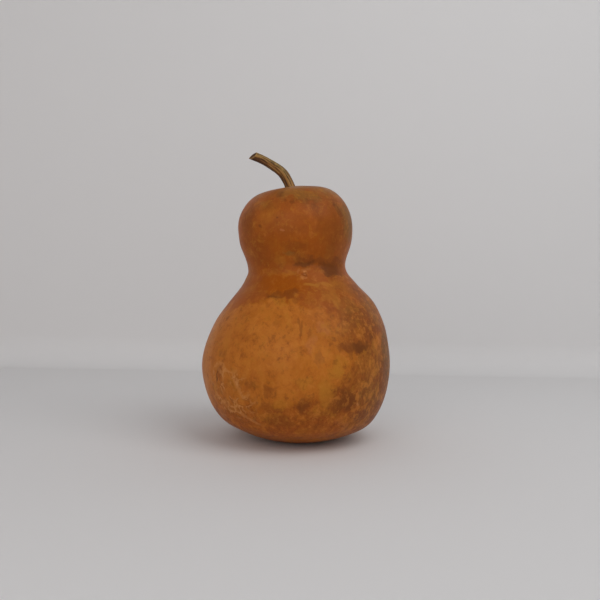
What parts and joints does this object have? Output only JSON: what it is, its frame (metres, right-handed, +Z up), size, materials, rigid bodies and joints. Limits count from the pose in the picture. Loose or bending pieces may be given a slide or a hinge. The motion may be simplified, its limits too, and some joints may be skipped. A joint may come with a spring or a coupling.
{
  "type": "dried bottle gourd",
  "caption": "Dried hourglass-shaped gourd with a smooth mottled brown skin and a curved, ribbed stem, standing on its base.",
  "frame": {"origin": "on the small flat spot that the fruit stands on, under the middle of the bulb", "axes": "+Z up through the waist and the crown, +X to the right and +Y away from the viewer when seen from the front; the stem bends towards -X"},
  "size_m": [0.1494, 0.1467, 0.2256],
  "materials": {
    "skin": "smooth, waxy half-gloss, mottled amber to reddish brown",
    "stem": "dry, ribbed, dull"
  },
  "bodies": {
    "root": {"fruit": "skin", "stem": "stem"}
  },
  "joints": []
}
